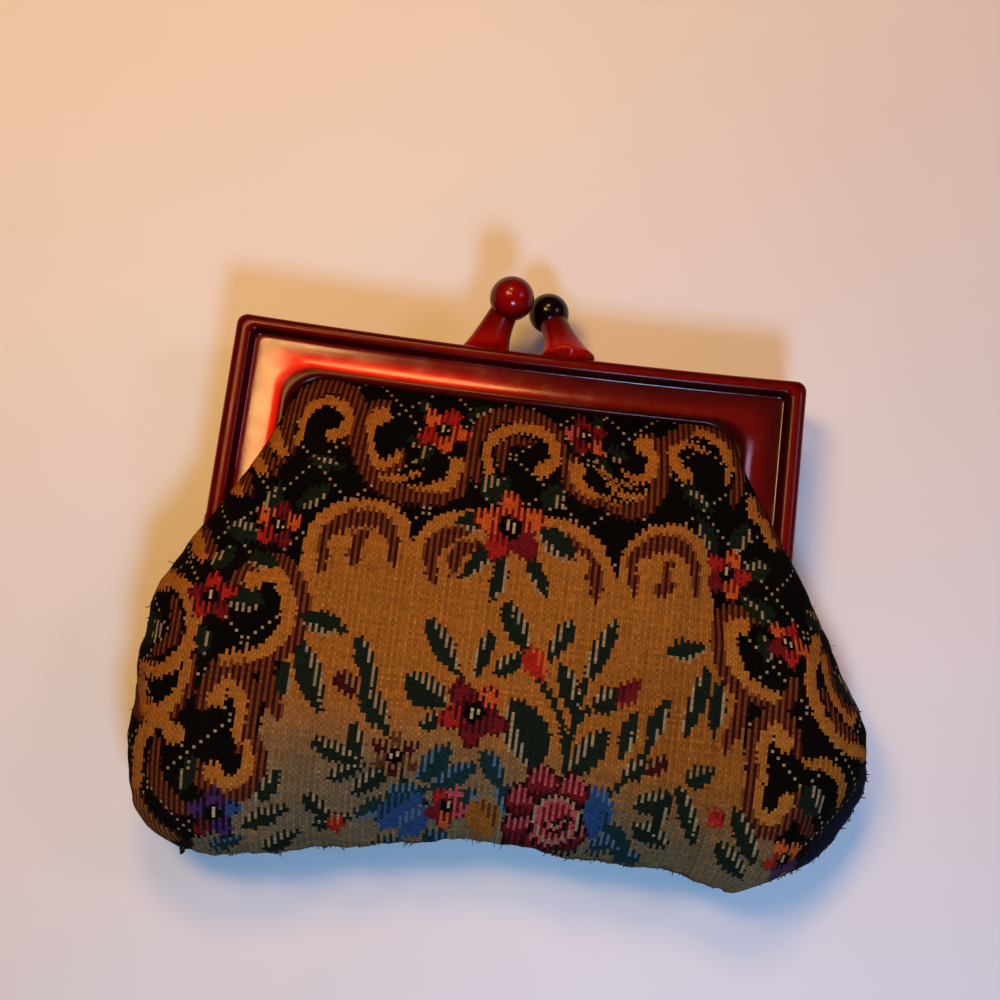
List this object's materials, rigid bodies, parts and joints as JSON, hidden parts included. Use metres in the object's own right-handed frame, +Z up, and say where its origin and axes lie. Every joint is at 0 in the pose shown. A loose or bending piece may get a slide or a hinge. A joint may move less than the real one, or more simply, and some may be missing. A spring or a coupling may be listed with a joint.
{
  "type": "coin purse",
  "caption": "Woven tapestry coin purse with a hinged moulded kiss-lock frame, lying on its back.",
  "frame": {"origin": "centre of the overall box, on the plane the purse lies on", "axes": "+X across the frame, +Y from the bag's bottom towards the clasp balls, +Z up through the front panel; it lies on its back panel"},
  "size_m": [0.128, 0.1016, 0.0246],
  "materials": {
    "frame_plastic": "polished, deep translucent red",
    "ball_plastic": "polished, deep red",
    "pin_brass": "worn",
    "cord_cotton": "twisted cotton",
    "tapestry": "jacquard weave",
    "lining_cloth": "plain weave"
  },
  "bodies": {
    "back_half": {"back_frame": "frame_plastic", "back_clasp_ball": "ball_plastic", "left_hinge_pin": "pin_brass", "right_hinge_pin": "pin_brass", "back_channel_cord": "cord_cotton", "back_panel": "tapestry", "back_lining": "lining_cloth", "front_panel": "tapestry", "front_lining": "lining_cloth", "front_panel_fold": "tapestry", "front_lining_fold": "lining_cloth"},
    "front_half": {"front_frame": "frame_plastic", "front_clasp_ball": "ball_plastic", "front_channel_cord": "cord_cotton", "front_panel_yoke": "tapestry", "front_lining_yoke": "lining_cloth"}
  },
  "joints": [
    {"name": "frame_open", "type": "hinge", "parent": "back_half", "child": "front_half", "pos_m": [0, -0.0054, 0.012], "axis": [1, 0, 0], "range_deg": [0, 90], "deforming": ["front_panel_fold", "front_lining_fold"]}
  ]
}
